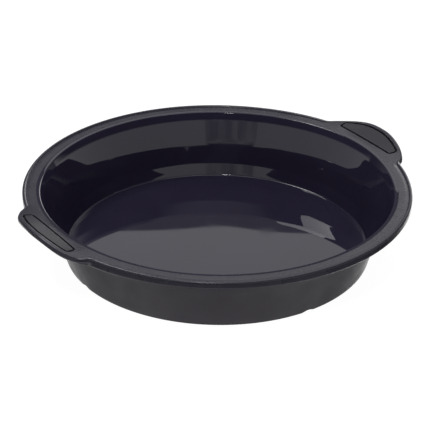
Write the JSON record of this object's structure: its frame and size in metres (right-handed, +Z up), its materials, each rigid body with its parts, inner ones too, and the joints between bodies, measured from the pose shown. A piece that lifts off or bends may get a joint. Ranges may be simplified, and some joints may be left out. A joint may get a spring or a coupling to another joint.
{
  "type": "round silicone cake mould",
  "caption": "Round silicone baking mould: sloped-wall bowl with a flat floor, beaded flange and upswept grip tabs with inset plates, for baking and turning out cakes.",
  "frame": {"origin": "centre of the foot ring on the surface it stands on", "axes": "+X along the line through the grips, +Z up out of the bowl"},
  "size_m": [0.3114, 0.2866, 0.0589],
  "materials": {
    "silicone": "polished inside, fine matt outside",
    "inlay": "fine matt",
    "ring": "drawn wire"
  },
  "bodies": {
    "root": {"mould_body": "silicone", "rim_ring": "ring", "grip_inlay_right": "inlay", "grip_inlay_left": "inlay"}
  },
  "joints": []
}
